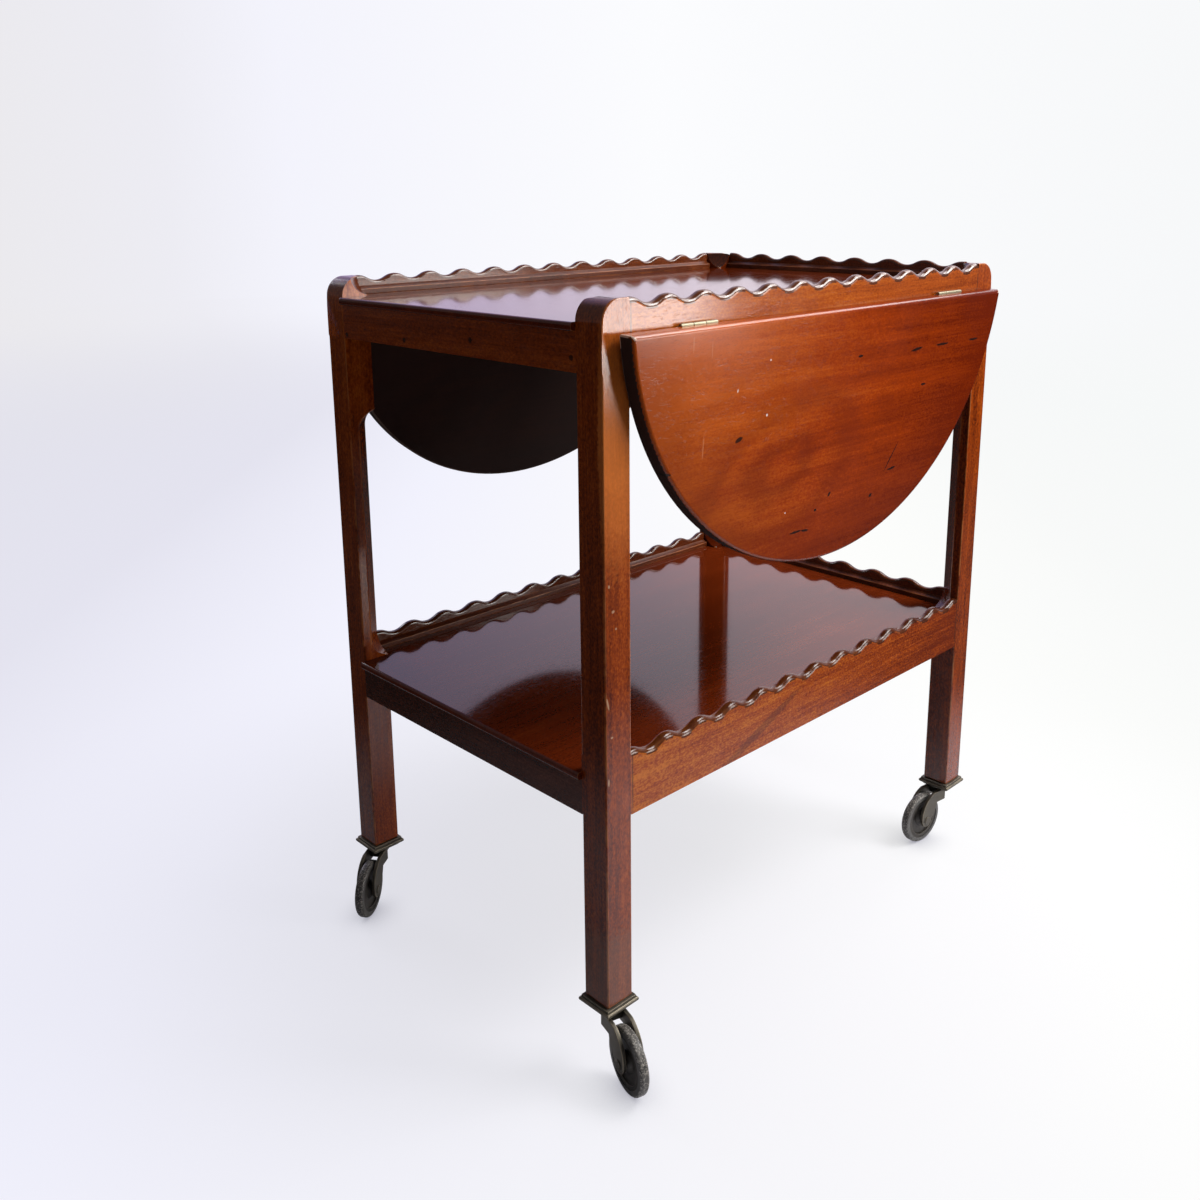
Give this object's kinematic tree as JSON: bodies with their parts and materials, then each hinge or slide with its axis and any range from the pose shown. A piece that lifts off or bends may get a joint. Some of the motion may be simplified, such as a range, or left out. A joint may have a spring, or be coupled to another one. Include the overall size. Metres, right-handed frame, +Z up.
{
  "type": "drop leaf tea trolley",
  "caption": "Wooden tea trolley with galleried trays, wavy pie-crust edges, hinged half-round drop leaves, square legs and swivelling castors.",
  "frame": {"origin": "on the floor under the middle of the four legs", "axes": "+X along the trolley towards its galleried end, +Y across it towards the back leaf, +Z up"},
  "size_m": [0.7237, 0.5563, 0.738],
  "materials": {
    "mahogany": "worn French polish",
    "tray": "glossy French polish",
    "leaf": "satin French polish",
    "unpolished_wood": "unpolished",
    "hinge_brass": "dulled",
    "castor_brass": "tarnished",
    "axle": "tarnished",
    "tyre": "worn rubber"
  },
  "bodies": {
    "frame": {"castor_cap_back_left": "castor_brass", "castor_cap_back_right": "castor_brass", "castor_cap_front_left": "castor_brass", "castor_cap_front_right": "castor_brass", "hinge_pins_back": "hinge_brass", "hinge_pins_front": "hinge_brass", "hinge_rail_plates_back": "hinge_brass", "hinge_rail_plates_front": "hinge_brass", "leg_back_left": "mahogany", "leg_back_right": "mahogany", "leg_front_left": "mahogany", "leg_front_right": "mahogany", "lower_gallery_beads": "mahogany", "lower_rail_back": "mahogany", "lower_rail_front": "mahogany", "lower_rail_left": "mahogany", "lower_rail_right": "mahogany", "lower_tray": "tray", "lower_tray_cleats": "unpolished_wood", "stay_bracket_back": "hinge_brass", "stay_bracket_front": "hinge_brass", "stay_pin_back": "hinge_brass", "stay_pin_front": "hinge_brass", "upper_gallery_beads": "mahogany", "upper_rail_back": "mahogany", "upper_rail_front": "mahogany", "upper_rail_left": "mahogany", "upper_rail_right": "mahogany", "upper_tray": "tray", "upper_tray_cleats": "unpolished_wood"},
    "leaf_front": {"leaf_front": "leaf", "hinge_leaf_plates_front": "hinge_brass"},
    "stay_front": {"leaf_stay_front": "unpolished_wood"},
    "leaf_back": {"leaf_back": "leaf", "hinge_leaf_plates_back": "hinge_brass"},
    "stay_back": {"leaf_stay_back": "unpolished_wood"},
    "castor_front_left": {"castor_fork_front_left": "castor_brass", "castor_axle_front_left": "axle"},
    "wheel_front_left": {"castor_wheel_front_left": "castor_brass", "castor_tyre_front_left": "tyre"},
    "castor_back_left": {"castor_fork_back_left": "castor_brass", "castor_axle_back_left": "axle"},
    "wheel_back_left": {"castor_wheel_back_left": "castor_brass", "castor_tyre_back_left": "tyre"},
    "castor_front_right": {"castor_fork_front_right": "castor_brass", "castor_axle_front_right": "axle"},
    "wheel_front_right": {"castor_wheel_front_right": "castor_brass", "castor_tyre_front_right": "tyre"},
    "castor_back_right": {"castor_fork_back_right": "castor_brass", "castor_axle_back_right": "axle"},
    "wheel_back_right": {"castor_wheel_back_right": "castor_brass", "castor_tyre_back_right": "tyre"}
  },
  "joints": [
    {"name": "leaf_front_hinge", "type": "hinge", "parent": "frame", "child": "leaf_front", "pos_m": [0, -0.216, 0.709], "axis": [-1, 0, 0], "range_deg": [0, 92.6]},
    {"name": "leaf_back_hinge", "type": "hinge", "parent": "frame", "child": "leaf_back", "pos_m": [0, 0.216, 0.709], "axis": [1, 0, 0], "range_deg": [-16.1, 76.5]},
    {"name": "stay_front_pivot", "type": "hinge", "parent": "frame", "child": "stay_front", "pos_m": [0, -0.2045, 0.666], "axis": [-1, 0, 0], "range_deg": [0, 203.4]},
    {"name": "stay_back_pivot", "type": "hinge", "parent": "frame", "child": "stay_back", "pos_m": [0, 0.2045, 0.666], "axis": [1, 0, 0], "range_deg": [-35.4, 168]},
    {"name": "castor_front_left_swivel", "type": "hinge", "parent": "frame", "child": "castor_front_left", "pos_m": [-0.302, -0.1965, 0.066], "axis": [0, 0, 1], "continuous": true},
    {"name": "wheel_front_left_spin", "type": "hinge", "parent": "castor_front_left", "child": "wheel_front_left", "pos_m": [-0.31259, -0.23393, 0.032], "axis": [0.9622, -0.2723, 0], "continuous": true},
    {"name": "castor_back_left_swivel", "type": "hinge", "parent": "frame", "child": "castor_back_left", "pos_m": [-0.302, 0.1965, 0.066], "axis": [0, 0, 1], "continuous": true},
    {"name": "wheel_back_left_spin", "type": "hinge", "parent": "castor_back_left", "child": "wheel_back_left", "pos_m": [-0.33394, 0.1743, 0.032], "axis": [0.5707, -0.8211, 0], "continuous": true},
    {"name": "castor_front_right_swivel", "type": "hinge", "parent": "frame", "child": "castor_front_right", "pos_m": [0.302, -0.1965, 0.066], "axis": [0, 0, 1], "continuous": true},
    {"name": "wheel_front_right_spin", "type": "hinge", "parent": "castor_front_right", "child": "wheel_front_right", "pos_m": [0.26342, -0.19156, 0.032], "axis": [-0.1271, -0.9919, 0], "continuous": true},
    {"name": "castor_back_right_swivel", "type": "hinge", "parent": "frame", "child": "castor_back_right", "pos_m": [0.302, 0.1965, 0.066], "axis": [0, 0, 1], "continuous": true},
    {"name": "wheel_back_right_spin", "type": "hinge", "parent": "castor_back_right", "child": "wheel_back_right", "pos_m": [0.33387, 0.21881, 0.032], "axis": [-0.5736, 0.8192, 0], "continuous": true}
  ],
  "couplings": [
    {"joint": "stay_front_pivot", "follows": "leaf_front_hinge", "ratio": 2.195},
    {"joint": "stay_back_pivot", "follows": "leaf_back_hinge", "ratio": 2.195}
  ]
}
